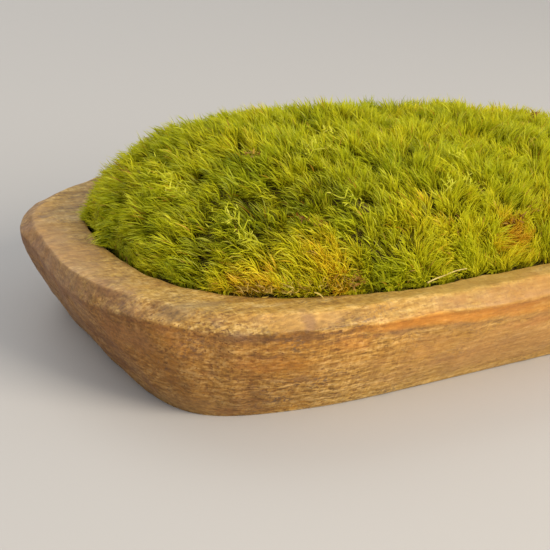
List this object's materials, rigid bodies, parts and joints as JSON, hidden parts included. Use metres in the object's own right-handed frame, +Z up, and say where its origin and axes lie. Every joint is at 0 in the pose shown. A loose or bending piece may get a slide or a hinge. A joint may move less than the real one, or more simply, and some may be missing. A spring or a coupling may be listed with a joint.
{
  "type": "moss clump in a wooden dough bowl",
  "caption": "Low dome of fine-leaved moss growing out of a hand-carved oblong wooden bowl with a broad flat rim, sloping walls and a flat foot",
  "frame": {"origin": "middle of the bowl's flat foot, on the surface that the bowl stands on", "axes": "+X along the bowl's length, +Y across it, +Z up out of the moss"},
  "size_m": [0.4722, 0.276, 0.127],
  "materials": {
    "carved_wood": "satin",
    "moss": "matte"
  },
  "bodies": {
    "root": {"dough_bowl": "carved_wood", "moss_clump": "moss"}
  },
  "joints": []
}
